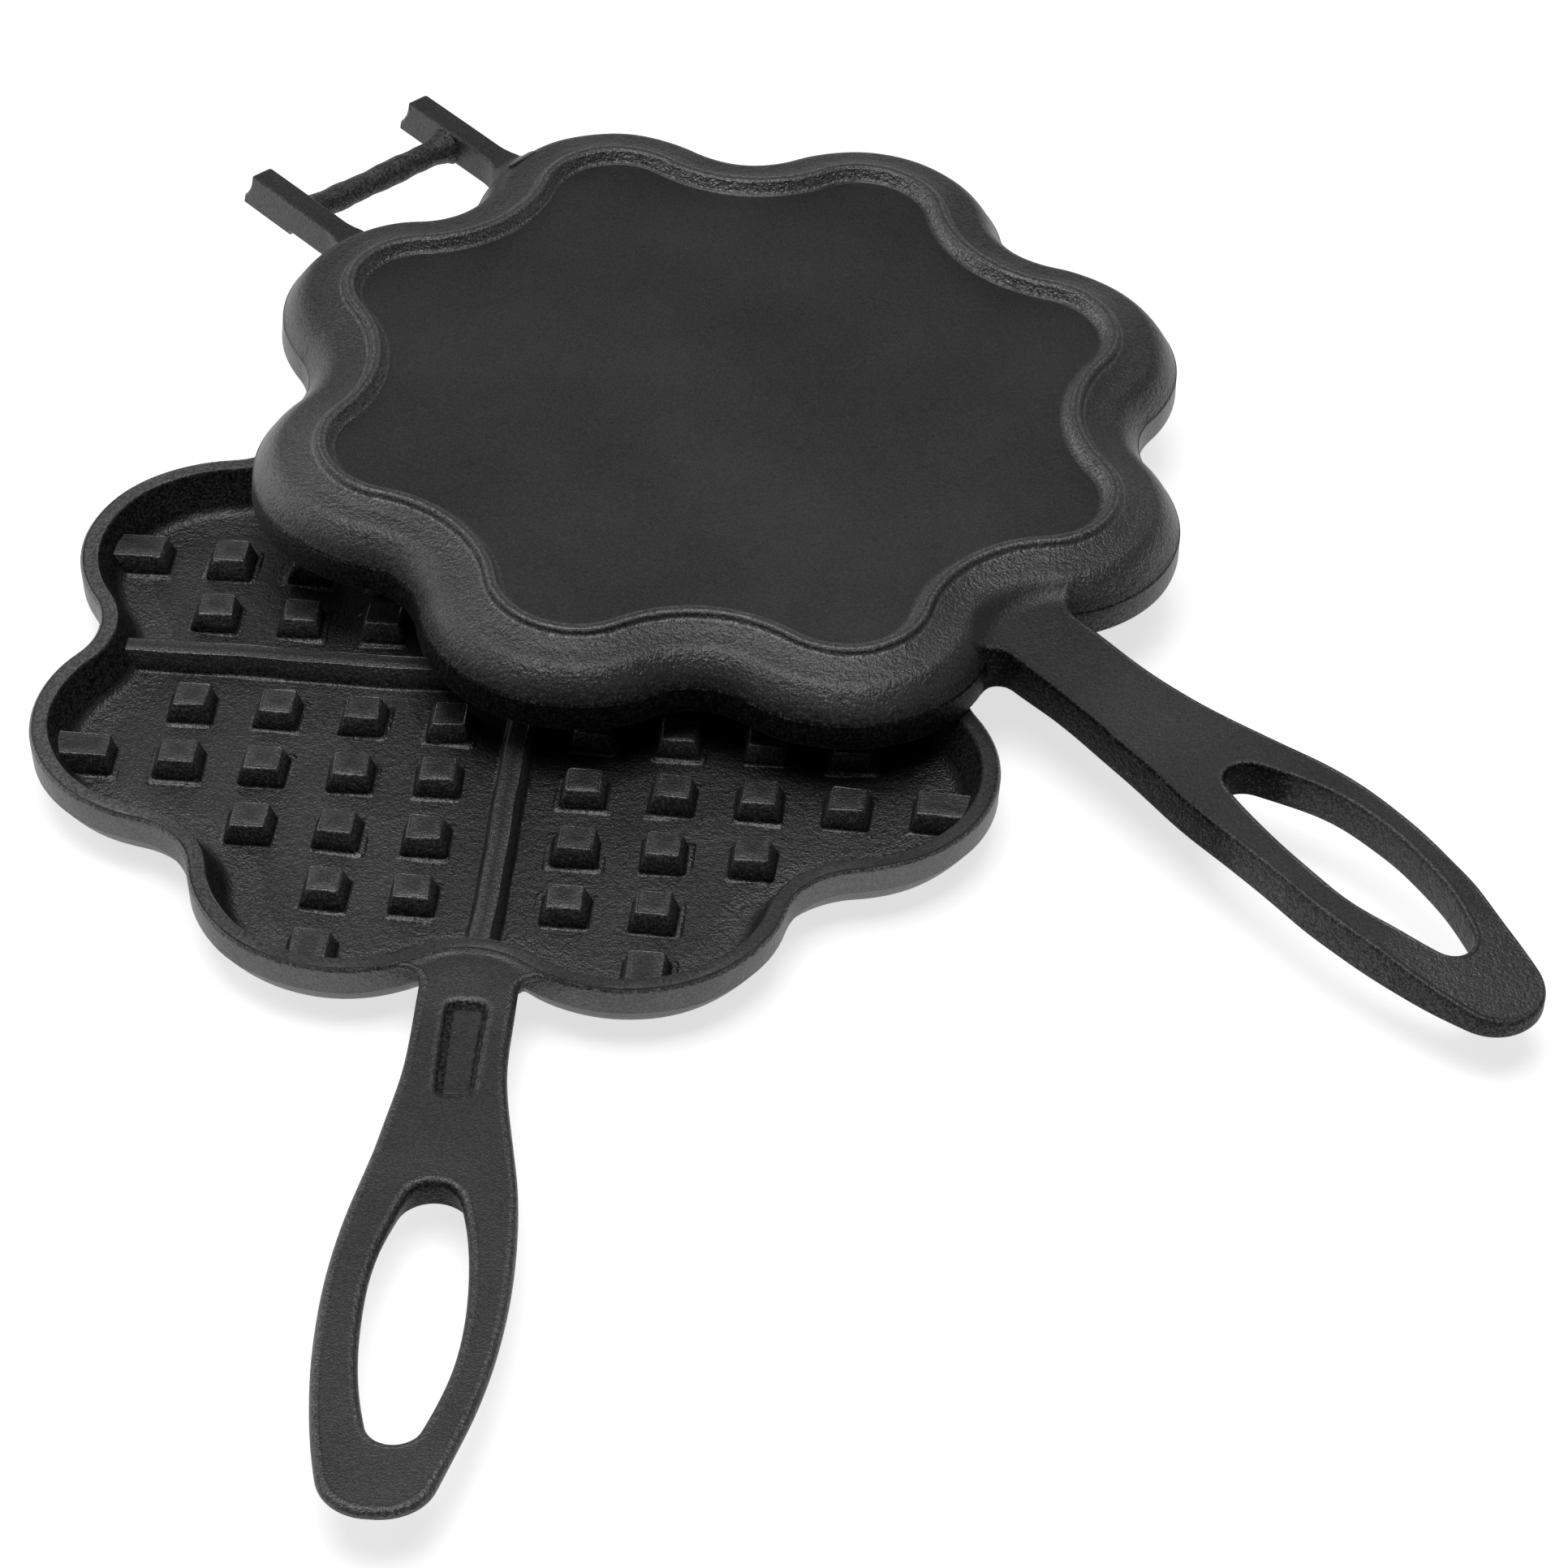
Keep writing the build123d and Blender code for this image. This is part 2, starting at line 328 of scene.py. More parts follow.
def along_path(path, at):
    """Points of a path at distances from its start."""
    length = distances(path)
    return np.stack([np.interp(at, length, path[:, 0]), np.interp(at, length, path[:, 1])], axis=-1)


def resampled(path, count):
    """Points spaced evenly along a path."""
    return along_path(path, np.linspace(0, distances(path)[-1], count))


def rounded_path(corners, steps=5):
    """Straight runs with every inner corner made an arc: rows of (across, along, radius) give the corners."""
    corners = np.asarray(corners, float)
    points = [corners[:1, :2]]
    for before, corner, after in zip(corners[:-2], corners[1:-1], corners[2:]):
        here = corner[:2]
        back = (before[:2] - here) / np.linalg.norm(before[:2] - here)
        ahead = (after[:2] - here) / np.linalg.norm(after[:2] - here)
        opening = np.arccos(np.clip(back @ ahead, -1, 1))
        run = corner[2] / np.tan(opening / 2)
        middle = here + (back + ahead) / np.linalg.norm(back + ahead) * corner[2] / np.sin(opening / 2)
        start = here + back * run - middle
        end = here + ahead * run - middle
        share = np.linspace(0, 1, steps)[:, None]
        swing = np.pi - opening
        arc = (np.sin((1 - share) * swing) * start + np.sin(share * swing) * end) / np.sin(swing)
        points.append(middle + arc)
    points.append(corners[-1:, :2])
    return np.concatenate(points)


def lobed_ring(inset, lobe_steps=30, notch_steps=18):
    """Plate outline moved in by an inset: a convex arc for each lobe, then the hollow arc of its notch."""
    inset = np.asarray(inset, float)[..., None, None]
    middle = (np.arange(lobes) + 0.5)[:, None] * sector
    corner = middle + half_lobe
    on_lobe = middle + np.linspace(-lobe_swing, lobe_swing, lobe_steps, endpoint=False)
    on_notch = corner + np.pi + np.linspace(notch_swing, -notch_swing, notch_steps, endpoint=False)
    lobe_x = lobe_centre * np.cos(middle) + (lobe_arc - inset) * np.cos(on_lobe)
    lobe_y = lobe_centre * np.sin(middle) + (lobe_arc - inset) * np.sin(on_lobe)
    notch_x = notch_centre * np.cos(corner) + (notch_arc + inset) * np.cos(on_notch)
    notch_y = notch_centre * np.sin(corner) + (notch_arc + inset) * np.sin(on_notch)
    x = np.concatenate([lobe_x, notch_x], axis=-1)
    y = np.concatenate([lobe_y, notch_y], axis=-1)
    shape = x.shape[:-2] + (-1,)
    return np.stack([x.reshape(shape), y.reshape(shape)], axis=-1)


def plate_inset(x, y):
    """How far inside the plate outline a point lies: its distance from the nearest lobe or notch arc."""
    angle = np.abs((np.arctan2(y, x) % sector) - half_lobe)
    radius = np.hypot(x, y)
    u, v = radius * np.cos(angle), radius * np.sin(angle)
    notch_u, notch_v = notch_centre * np.cos(half_lobe), notch_centre * np.sin(half_lobe)
    on_lobe = lobe_arc - np.hypot(u - lobe_centre, v)
    on_notch = np.hypot(u - notch_u, v - notch_v) - notch_arc
    return np.where(np.arctan2(v, u - lobe_centre) < lobe_swing, on_lobe, on_notch)


def dome_curve(inset):
    """Height of the dome over an inset: a power curve, steep at the flange and level at the ledge."""
    run = np.clip((dome_inset - inset) / (dome_inset - step_inset), 0, 1)
    return flange_height + (dome_height - flange_height) * (1 - run**dome_power)


def dome_skin(x, y):
    """Height of the pan's back over a point near its edge, falling steeply outside it."""
    inset = plate_inset(x, y)
    return np.where(inset > step_inset, dome_curve(inset), flange_height + skirt_slope * (inset - step_inset))


# Meshes

box_low, box_high = (np.array([list(corner)]) for corner in cad_box)
skin_seeds = (3, 4, 5)


class Casting:
    """Sheets of one closed piece: grids of points with how ground their surface is, how light from wear and
    painted highlight, and how dark from painted shade.
    """

    def __init__(self):
        self.points = []
        self.tones = []
        self.faces = []
        self.count = 0

    def add(self, points, ground=0.0, edge=0.0, dark=0.0, closed=False):
        """Adds a grid of points with a face between each two rows and columns."""
        shape = points.shape[:-1]
        index = np.arange(np.prod(shape)).reshape(shape)
        if closed:
            index = np.concatenate([index, index[:, :1]], axis=1)
        corners = [index[:-1, :-1], index[:-1, 1:], index[1:, 1:], index[1:, :-1]]
        tones = [np.broadcast_to(tone, shape).reshape(-1) for tone in (ground, edge, dark)]
        self.points.append(points.reshape(-1, 3))
        self.tones.append(np.clip(np.stack(tones, axis=-1), 0, 1))
        self.faces.append(np.stack(corners, axis=-1).reshape(-1, 4) + self.count)
        self.count += int(np.prod(shape))

    def skin(self, amount, length):
        """Points of all sheets, moved in all three directions by the waviness where they aren't ground."""
        points = np.concatenate(self.points)
        rough = 1 - np.concatenate(self.tones)[:, :1]
        shift = np.stack([waves(points, length, seed) for seed in skin_seeds], axis=-1)
        return points + rough * amount * shift

    def piece(self, name, half, nodes, material, amount=0.06, length=16.0):
        """Makes the object, closes its seams, turns its faces outwards and ties it to its half."""
        points = np.clip(placed(self.skin(amount, length), half), box_low, box_high)
        mesh = bpy.data.meshes.new(name)
        mesh.from_pydata(points, [], np.concatenate(self.faces))
        tones = np.concatenate(self.tones).astype(np.float32)
        for column, label in enumerate(("ground", "edge", "dark")):
            layer = mesh.attributes.new(label, "FLOAT", "POINT")
            layer.data.foreach_set("value", np.ascontiguousarray(tones[:, column]))
        shape = bmesh.new()
        shape.from_mesh(mesh)
        bmesh.ops.remove_doubles(shape, verts=shape.verts, dist=2e-6)
        bmesh.ops.dissolve_degenerate(shape, edges=shape.edges, dist=1e-7)
        bmesh.ops.recalc_face_normals(shape, faces=shape.faces)
        shape.to_mesh(mesh)
        shape.free()
        mesh.shade_smooth()
        mesh.materials.append(material)
        thing = bpy.data.objects.new(name, mesh)
        bpy.context.scene.collection.objects.link(thing)
        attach(thing, half + "_half")
        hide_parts(*nodes)


# Fineness of the meshes, in rows or points
wall_rows = 14
dome_rows = 15
bead_rows = 64
disc_rows = 14
cavity_rows = 24
floor_rows = 18
rib_rows = 121
grip_rows = 80
between_rows = 7
eye_end_points = 24
eye_side_points = 90
hollow_points = 12
arm_points = 80
arm_rows = 5
bar_points = 28


# Pan


def rings(ring, heights):
    """Rows of a lobed outline set at heights, as points in space."""
    return np.concatenate([ring, np.broadcast_to(heights[:, None, None], ring.shape[:2] + (1,))], axis=-1)


def towards_centre(ring, height, rows):
    """Rows that shrink an outline to the plate centre at one height, a little closer together at the edge."""
    share = np.linspace(1, 0, rows)[:, None, None] ** 0.8
    return rings(ring[None] * share, np.full(rows, height))


def pan_section():
    """Section of the pan as rows of (inset, height): cavity wall, rim, flange, dome, bead and disc."""
    rim = rounded_path(rim_corners)
    wall = rim[0] + np.linspace(0, wall_share, wall_rows)[:, None] * (rim[1] - rim[0])
    inset = step_inset + (dome_inset - step_inset) * np.linspace(0, 1, dome_rows) ** 1.2
    dome = np.stack([inset, dome_curve(inset)], axis=-1)
    bead = resampled(rounded_path(bead_corners, steps=6), bead_rows)
    return np.concatenate([wall, rim[1:-1], dome, bead[1:]])


def pan_tones(inset, height, ring, half):
    """How ground, light and dark the pan is: ground faces, light edges of wear and painted highlight, and
    painted shade in the hollows, on the upper half's near side and on the far side of the dome.
    """
    facing = np.cos(np.arctan2(ring[..., 1], ring[..., 0]) - upper_front)
    near_bead = blend_step(0.3, 0.95, facing)
    rim_face = height < 0.02
    crest = blend_step(bead_height - 0.35, bead_height - 0.02, height)
    ground = rim_face + 0.35 * (inset < 0.31) + 0.6 * crest + blend_step(16.9, 17.6, inset)

    # Light bands of wear and painted highlight at the bead's and rim's edges and on the bead's side; the
    # crown band, weaker on the near side, and the rim face growing lighter towards +X are painted highlight.
    edge = bands(inset, bead_edges) * (height > disc_height - 0.1)
    edge = edge + bands(inset, bead_side) * (height > disc_height + 0.05)
    edge = edge + bands(inset, rim_edges) * hump(height, 0.2, 0.35)
    edge = edge + rim_face * (0.05 + 0.42 * blend_step(10, 90, ring[..., 0]))
    edge = edge + bands(inset, bead_crown) * (height > bead_height - 0.9) * (1 - 0.5 * near_bead)

    # Painted shade: on the cavity wall, on the upper half's flange and low dome on the near side, in the
    # creases at the bead's feet (deeper on the near side) and on the far side of the dome.
    cavity_wall = (inset > rim_width) * (height > 0.2) * (height < 4.3)
    flange = (inset < 0.7) * blend_step(0.0, 0.5, height)
    low_dome = blend_step(3.4, 0.8, inset) * (height >= flange_height)
    far_dome = (height > flange_height) * blend_step(1.1, 5.1, inset) * (inset < 13.0)
    near_side = (0.85 * flange + 0.6 * low_dome) * (half == "upper")
    dark = 0.75 * cavity_wall + near_side * blend_step(0.2, 0.8, facing)
    dark = dark + bands(inset, bead_feet) * (0.25 + 0.5 * near_bead)
    dark = dark + 0.36 * far_dome * blend_step(0.4, -0.3, facing)
    return ground, edge, dark


def pan(half):
    """Pan: its section carried round the lobed outline, closed over the disc and over the cavity's floor."""
    section = pan_section()
    ring = lobed_ring(section[:, 0])
    tones = pan_tones(section[:, :1], section[:, 1:], ring, half)
    casting = Casting()
    casting.add(rings(ring, section[:, 1]), *tones, closed=True)
    casting.add(towards_centre(ring[-1], disc_height, disc_rows), 1.0, closed=True)
    wall = resampled(rounded_path(cavity_corners, steps=8), cavity_rows)
    inner = lobed_ring(wall[:, 0])
    # Painted shade on the steep part of the cavity wall.
    steep = blend_step(cavity_depth, cavity_depth - 2.0, wall[:, 1:])
    casting.add(rings(inner, wall[:, 1]), dark=0.75 * steep, closed=True)
    casting.add(towards_centre(inner[0], cavity_depth, floor_rows), 0.4, closed=True)
    return casting


# Waffle blocks and ribs


def square_ring(half_width, corner, steps=5):
    """Square with round corners: four quarter circles, each set at its corner."""
    quarters = np.arange(4) * np.pi / 2
    angle = (quarters[:, None] + np.linspace(0, np.pi / 2, steps)).reshape(-1)
    across = np.repeat(np.sign(np.cos(quarters + np.pi / 4)), steps)
    upwards = np.repeat(np.sign(np.sin(quarters + np.pi / 4)), steps)
    reach = (half_width - corner)[..., None]
    x = reach * across + corner[..., None] * np.cos(angle)
    y = reach * upwards + corner[..., None] * np.sin(angle)
    return np.stack([x, y], axis=-1)


def heart_blocks():
    """Rows of (across, up, run across, run up) for one heart: its outermost blocks run into the wall."""
    rows = []
    for row, (first, last) in enumerate(row_spans, start=1):
        for column in range(first, last + 1):
            run = wall_run if (column, row) in wall_blocks else 0.0
            place = (first_block + (column - 1) * pitch, first_block + (row - 1) * pitch)
            rows.append(place + ((run, 0.0) if column > row else (0.0, run)))
    return np.array(rows)


def blocks(half):
    """Waffle blocks: a round-cornered square whose width follows a profile from flared foot to flat top."""
    rise = cavity_depth - pattern_top
    foot = block_base / 2 + block_flare
    profile = rounded_path([
        (foot, -0.12, 0), (block_base / 2 + 0.05, 0.05, 0.8),
        (block_top / 2, rise, 0.7), (block_flat, rise, 0),
    ], steps=6)
    half_width = np.concatenate([[foot], profile[:, 0], [0.0]])
    height = np.concatenate([[-pattern_sink], profile[:, 1], [rise]])
    corner = np.minimum(np.maximum(0.5 + 0.35 * (half_width - block_top / 2), 0.35), half_width)
    ring = square_ring(half_width, corner)
    half_width, height = half_width[:, None], height[:, None]

    heart = heart_blocks()[:, None, None]
    count = (4, len(heart), 1, 1)
    chance = np.random.default_rng(block_seeds[half])
    plan = ring * (1 + chance.normal(0, block_uneven, count + (2,)))
    plan = plan + (plan > 0) * heart[..., 2:] * np.clip(height / rise, 0, 1)[..., None]
    plan = np.stack(spun(plan[..., 0], plan[..., 1], chance.normal(0, block_twist, count)), axis=-1)
    shift = chance.normal(0, block_shift, count + (2,))
    lean = chance.normal(0, block_lean, count + (2,)) * (height / rise)[..., None]
    plan = plan + heart[..., :2] + shift + lean
    across, upwards = spun(plan[..., 0], plan[..., 1], np.arange(4)[:, None, None, None] * np.pi / 2)
    points = np.stack(np.broadcast_arrays(across, upwards, cavity_depth - height), axis=-1)

    # Ground tops, light lines at the top edge and the foot of wear and painted highlight, and painted shade
    # on the sides.
    top = 0.7 * blend_step(rise - 0.12, rise - 0.01, height)
    top_edge = 0.45 * hump(height, rise - 0.25, 0.35) * (half_width > 2.4)
    edge = top_edge + 0.2 * hump(half_width, block_base / 2 + 0.6, 0.5)
    dark = blend_step(0.08, 0.5, height) * blend_step(rise - 0.1, rise - 0.6, height)
    casting = Casting()
    for block in points.reshape((-1,) + ring.shape[:2] + (3,)):
        casting.add(block, top, edge, dark, closed=True)
        middle = np.broadcast_to(block[0].mean(axis=0), block[0].shape)
        casting.add(np.stack([block[0], middle]), closed=True)
    return casting


def tube(sections, casting, ground=0.0, edge=0.0, dark=0.0):
    """Closed tube from rows of sections, with both ends drawn to their middles."""
    first = np.broadcast_to(sections[0].mean(axis=0), sections[0].shape)
    last = np.broadcast_to(sections[-1].mean(axis=0), sections[-1].shape)
    casting.add(np.concatenate([first[None], sections, last[None]]), ground, edge, dark, closed=True)


def ribs():
    """Cross of two ribs: a section with flared feet and round top edges, drawn through the centre."""
    foot = rib_base / 2 + rib_flare
    right = rounded_path([
        (foot, cavity_depth + 0.12, 0), (rib_base / 2, cavity_depth - 0.05, 0.8),
        (rib_top / 2, pattern_top, 0.45), (0, pattern_top, 0),
    ])
    right = np.concatenate([[[foot, cavity_depth + pattern_sink]], right])
    section = np.concatenate([right, right[::-1][1:] * [-1, 1]])
    along = np.linspace(-rib_half_length, rib_half_length, rib_rows)[:, None]
    across = section[:, 0] + ripple(along, rib_ripples)
    rows = np.stack(np.broadcast_arrays(across, along, section[:, 1]), axis=-1)
    width, height = np.abs(section[:, 0]), section[:, 1]
    # Ground tops, light lines at the top edges and the feet of wear and painted highlight, and painted shade
    # on the sides.
    top = 0.7 * blend_step(pattern_top + 0.12, pattern_top + 0.01, height)
    edge = 0.5 * hump(width, rib_top / 2 - 0.1, 0.4) * hump(height, pattern_top, 0.4)
    edge = edge + 0.2 * hump(width, rib_base / 2 + 0.6, 0.4)
    below_top = blend_step(pattern_top + 0.1, pattern_top + 0.5, height)
    dark = 0.7 * below_top * blend_step(cavity_depth, cavity_depth - 0.4, height)
    casting = Casting()
    tube(rows, casting, top, edge, dark)
    tube(rows[..., [1, 0, 2]], casting, top, edge, dark)
    return casting


# Handle


def tangent_radius(half_width, half_length, end_arc):
    """Radius of a side arc that reaches a half width and runs into an end arc."""
    run = half_length - end_arc
    return (half_width**2 + run**2 - end_arc**2) / (2 * (half_width - end_arc))


def half_width_at(place, length):
    """Half width of a handle at distances from the plate centre: neck, hollow, belly, grip and tip arcs."""
    widening = paddle_half_width - neck_half_width
    swell = paddle_place - neck_end
    side_arc = (widening**2 + swell**2) / (4 * widening)
    grip_arc = tangent_radius(paddle_half_width, length - paddle_place, tip_arc)
    grip = paddle_half_width - grip_arc
    tip = length - tip_arc
    tip_turn = tip + tip_arc * np.sin(np.arctan2(tip - paddle_place, -grip))

    def arc(radius, middle):
        """Height of a circle over places along its middle line, and 0 outside it."""
        return np.sqrt(np.clip(radius**2 - (place - middle) ** 2, 0, None))

    neck = np.full_like(place, neck_half_width)
    hollow = neck_half_width + side_arc - arc(side_arc, neck_end)
    belly = paddle_half_width - side_arc + arc(side_arc, paddle_place)
    hand = grip + arc(grip_arc, paddle_place)
    ends = [neck_end, neck_end + swell / 2, paddle_place, tip_turn]
    return np.select([place < end for end in ends], [neck, hollow, belly, hand], arc(tip_arc, tip))


def eye_points(share, half_width):
    """Eye outline of end and side arcs, at shares of its round from its near end down the right side."""
    side_arc = tangent_radius(half_width, eye_half_length, eye_end_arc)
    side = half_width - side_arc
    end = eye_half_length - eye_end_arc
    angle = np.arctan2(end, -side)
    near = np.linspace(np.pi / 2, angle, eye_end_points)
    flank = np.linspace(angle, -angle, eye_side_points)
    far = np.linspace(-angle, -np.pi / 2, eye_end_points)
    x = [eye_end_arc * np.cos(near), side + side_arc * np.cos(flank), eye_end_arc * np.cos(far)]
    y = [end + eye_end_arc * np.sin(near), side_arc * np.sin(flank), eye_end_arc * np.sin(far) - end]
    right = np.stack([np.concatenate(x), np.concatenate(y)], axis=-1)
    whole = np.concatenate([right, right[::-1] * [-1, 1]])
    return along_path(whole, share * distances(whole)[-1]) - [0, eye_place]


def sideways(path, closed):
    """Unit normals of a path that runs clockwise seen from +Z, pointing to its right-hand inner side."""
    if closed:
        run = np.roll(path, -1, axis=0) - np.roll(path, 1, axis=0)
    else:
        run = np.gradient(path, axis=0)
    run /= np.linalg.norm(run, axis=1, keepdims=True)
    return np.stack([run[:, 1], -run[:, 0]], axis=-1)


def back_height(y):
    """Back of the handle: level, then sloping down to the thin tip after a soft bend."""
    slope = handle_back - (handle_back - tip_back) * (tip_slope - handle_length - y) / tip_slope
    near = np.clip(1 - np.abs(slope - handle_back) / tip_bend, 0, 1)
    return np.minimum(slope, handle_back) - near * near * tip_bend / 4


def face_height(x, y):
    """Face of the handle: level, rising beside the plate in a slow and a quick step nearly to its rim."""
    outside = -plate_inset(x, y)
    rise = sum(amount * blend_step(far, near, outside) for far, near, amount in face_rises)
    return handle_face - rise * (y > -face_rise_end)


def groove_into(x, y):
    """How far inside the outline of the groove in the neck's face a point lies."""
    rough = groove_rough * waves(np.stack([x, y, 0 * x], axis=-1), groove_rough_length, groove_seed)
    half_width = groove_half_width + groove_taper * (y - groove_y)
    dx = np.abs(x - groove_x) - (half_width - groove_corner)
    dy = np.abs(y - groove_y) - (groove_half_length - groove_corner)
    outside = np.hypot(np.clip(dx, 0, None), np.clip(dy, 0, None))
    return groove_corner - outside - np.clip(np.maximum(dx, dy), None, 0) + rough


def pad_into(x, y):
    """The same for the pad, whose outline is the groove's, a little shifted."""
    return groove_into(x - pad_shift_x, y - pad_shift_y)


def groove_depth(x, y):
    """Depth of the groove less the height of its pad, fading towards the eye."""
    fade = 1 - 0.5 * blend_step(groove_far + groove_fade, groove_far, y)
    pad = pad_rise * blend_step(1.1, 2.0, pad_into(x, y))
    return fade * (blend_step(-0.1, 0.7, groove_into(x, y)) - pad)


def neck_tones(x, y):
    """How ground, light and dark the neck's face is: light lines of wear and painted highlight along the rim
    and the groove, and painted shade in the groove.
    """
    into = groove_into(x, y)
    rim_line = 0.4 * hump(plate_inset(x, y), -0.4, 0.35)
    groove_line = 0.5 * hump(into, -0.3, 0.45) * blend_step(groove_far, groove_far + groove_fade, y)
    trench = blend_step(0.0, 0.4, into) * blend_step(2.1, 1.2, pad_into(x, y))
    shaded = 0.4 + 0.3 * blend_step(-1.5, 1.5, np.maximum(x, y - groove_near))
    deep = trench * (0.5 + 0.5 * blend_step(groove_far - 0.5, groove_far + 2.5, y)) * shaded
    return 0.9 - 0.85 * trench, 0.5 * (rim_line + groove_line), deep


def root_curve(x):
    """Distance from the plate centre to where the handle ends inside the rim: the plate outline moved in."""
    x = np.abs(x)
    notch = notch_centre - np.sqrt(np.clip((notch_arc + root_inset) ** 2 - x**2, 0, None))
    lobe = crown_y + np.sqrt((lobe_arc - root_inset) ** 2 - (x - crown_x) ** 2)
    meet = crown_x - (lobe_arc - root_inset) * crown_x / np.hypot(crown_x, notch_centre - crown_y)
    return np.where(x < meet, notch, lobe)


def root_points():
    """Right side of the handle's root: under the rim along the lobe, then round the corner to the neck."""
    reach = neck_half_width + neck_fillet
    corner = np.array([reach, crown_y + np.sqrt((lobe_arc + neck_fillet) ** 2 - (crown_x - reach) ** 2)])
    crown = np.array([crown_x, crown_y])
    touch = np.arctan2(*(crown - corner)[::-1])
    swing = np.linspace(touch, -np.pi, 10)[:-1]
    round_corner = corner + neck_fillet * np.stack([np.cos(swing), np.sin(swing)], axis=-1)
    under = touch + np.pi - root_angles
    radius = lobe_arc - root_inset * root_shares
    hidden = crown + radius[:, None] * np.stack([np.cos(under), np.sin(under)], axis=-1)
    return np.concatenate([hidden, round_corner, [[neck_half_width, corner[1]]]])


def edge_rows(radius, lead, steps=5):
    """Rows of an edge from one face round to the other: how far in, and how far from each face."""
    angle = np.linspace(0, np.pi / 2, steps)
    fall = radius * (1 - np.sin(angle))
    climb = radius * (1 - np.cos(angle))
    level = np.zeros(steps + 1)
    inward = np.concatenate([[radius + lead], fall, climb, [radius + lead]])
    return inward, np.concatenate([[0], climb, level]), np.concatenate([level, fall, [0]])


def rows_deep(layers):
    """How many rows each row of an edge lies from the nearer face."""
    order = np.arange(layers)
    return np.minimum(order, layers - 1 - order)[:, None]


def handle(half):
    """Handle: an edge profile carried round its outline and its eye, with level faces between them."""
    form = handle_forms[half]
    inward, from_face, from_back = edge_rows(form.edge_round, face_round)
    layers = len(inward)
    on_back = np.arange(layers) >= layers // 2
    inward = inward + form.draft * on_back

    root = root_points()
    neck = np.arange(root[-1, 1] + form.neck_step, fine_end, form.neck_step)
    straight = np.concatenate([neck, np.linspace(fine_end + coarse_step, ring_start, between_rows)])
    swing = np.linspace(0, np.pi / 2, grip_rows)[1:]
    past = form.length - (form.length - ring_start) * (1 - np.sin(swing))
    place = np.concatenate([straight, past])
    half_width = half_width_at(place, form.length) + form.spread * blend_step(spread_start, spread_end, place)
    half_width[-1] = 0
    right = np.concatenate([root, np.stack([half_width, place], axis=-1)]) * [1, -1]
    outline = np.concatenate([right, right[-2::-1] * [-1, 1]])
    last = len(outline) - 1
    stations = len(root) + len(straight)
    bend = np.zeros(stations)
    bend[:len(root)] = np.linspace(1, 0, len(root))

    def raised(plan, layer):
        """Adds the height of a layer to points of the handle's plan."""
        x, y = plan[..., 0], plan[..., 1]
        if on_back[layer]:
            level = soft_max(back_height(y), dome_skin(x, y) - skin_gap, dome_fillet) - from_back[layer]
        else:
            level = face_height(x, y) + form.grooved * groove_depth(x, y) + from_face[layer]
        return np.concatenate([plan, level[..., None]], axis=-1)

    def strip(path, ways):
        """Edge rows along a path, sharper at the root of the face, wider and rounder at that of the back."""
        pull = np.zeros(len(path))
        if len(path) == len(outline):
            pull[:stations] = bend
            pull[-stations:] = bend[::-1]
        sharp = 1 - root_sharpness * pull * ~on_back[:, None]
        pull = pull * on_back[:, None]
        plans = path + (inward[:, None] * sharp * (1 + root_swell * pull))[..., None] * ways
        plans[..., 1] += root_lean * pull
        rows = np.stack([raised(plan, layer) for layer, plan in enumerate(plans)])
        rows[..., 2] -= root_swell * pull * from_back[:, None] + (1 - sharp) * from_face[:, None]
        return rows

    depth = rows_deep(layers)
    smooth = 0.75 * hump(depth, 0, 1.6)
    # A light line along the rounded edges, fading in away from the root: wear and painted highlight.
    wear_and_highlight = 0.15 * hump(depth, 2, 0.9)
    side_wall = blend_step(0.5, 3.5, depth)
    from_plate = -outline[:, 1]
    # Painted shade on the side walls, on the upper handle deepest on one side near the root.
    near_side = (np.arange(last + 1) > last / 2) * blend_step(near_dark_end, near_dark_start, from_plate)
    outer = strip(outline, sideways(outline, False))
    outer_dark = np.maximum(form.wall_dark, form.near_dark * near_side) * side_wall
    casting = Casting()
    casting.add(outer, smooth, wear_and_highlight * blend_step(*form.edge_fade, from_plate), outer_dark)

    def rows_between(layer, chosen):
        """Rows from the left to the right edge of a layer, bent along the plate outline near the root."""
        side = outer[layer]
        left_edge, right_edge = side[last - chosen][:, None, :2], side[chosen][:, None, :2]
        share = np.linspace(0, 1, form.columns)[None, :, None]
        plan = left_edge * (1 - share) + right_edge * share
        sag = root_curve(right_edge[..., 0]) - root_curve(plan[..., 0])
        plan[..., 1] += sag * bend[chosen][:, None]
        return raised(plan, layer)

    around = np.arange(stations, last - stations + 1)
    turns = len(around) // 2 + 1
    share = np.concatenate([
        np.linspace(-eye_near_share, eye_near_share, form.columns),
        np.linspace(eye_near_share, 0.5, turns + 1)[1:],
        np.linspace(0.5, 1 - eye_near_share, turns + 1)[1:-1],
    ])[:form.columns + len(around)] % 1.0
    hole = eye_points(share, form.eye_half_width)
    along = hole[:, 1] + eye_place
    drop = -form.eye_drop * (1 + along / eye_half_length)
    hole = hole + np.stack([form.eye_lean * along + form.eye_shift, drop], axis=-1)
    eye_edge = strip(hole, -sideways(hole, True))
    # Painted shade on the eye's walls and the light line on its edge, both stronger at the end near the
    # plate.
    near_plate = 1 + 1.5 * blend_step(eye_near_start, eye_near_end, hole[:, 1] + eye_place)
    casting.add(eye_edge, smooth, wear_and_highlight * near_plate, form.eye_dark * side_wall * near_plate, closed=True)

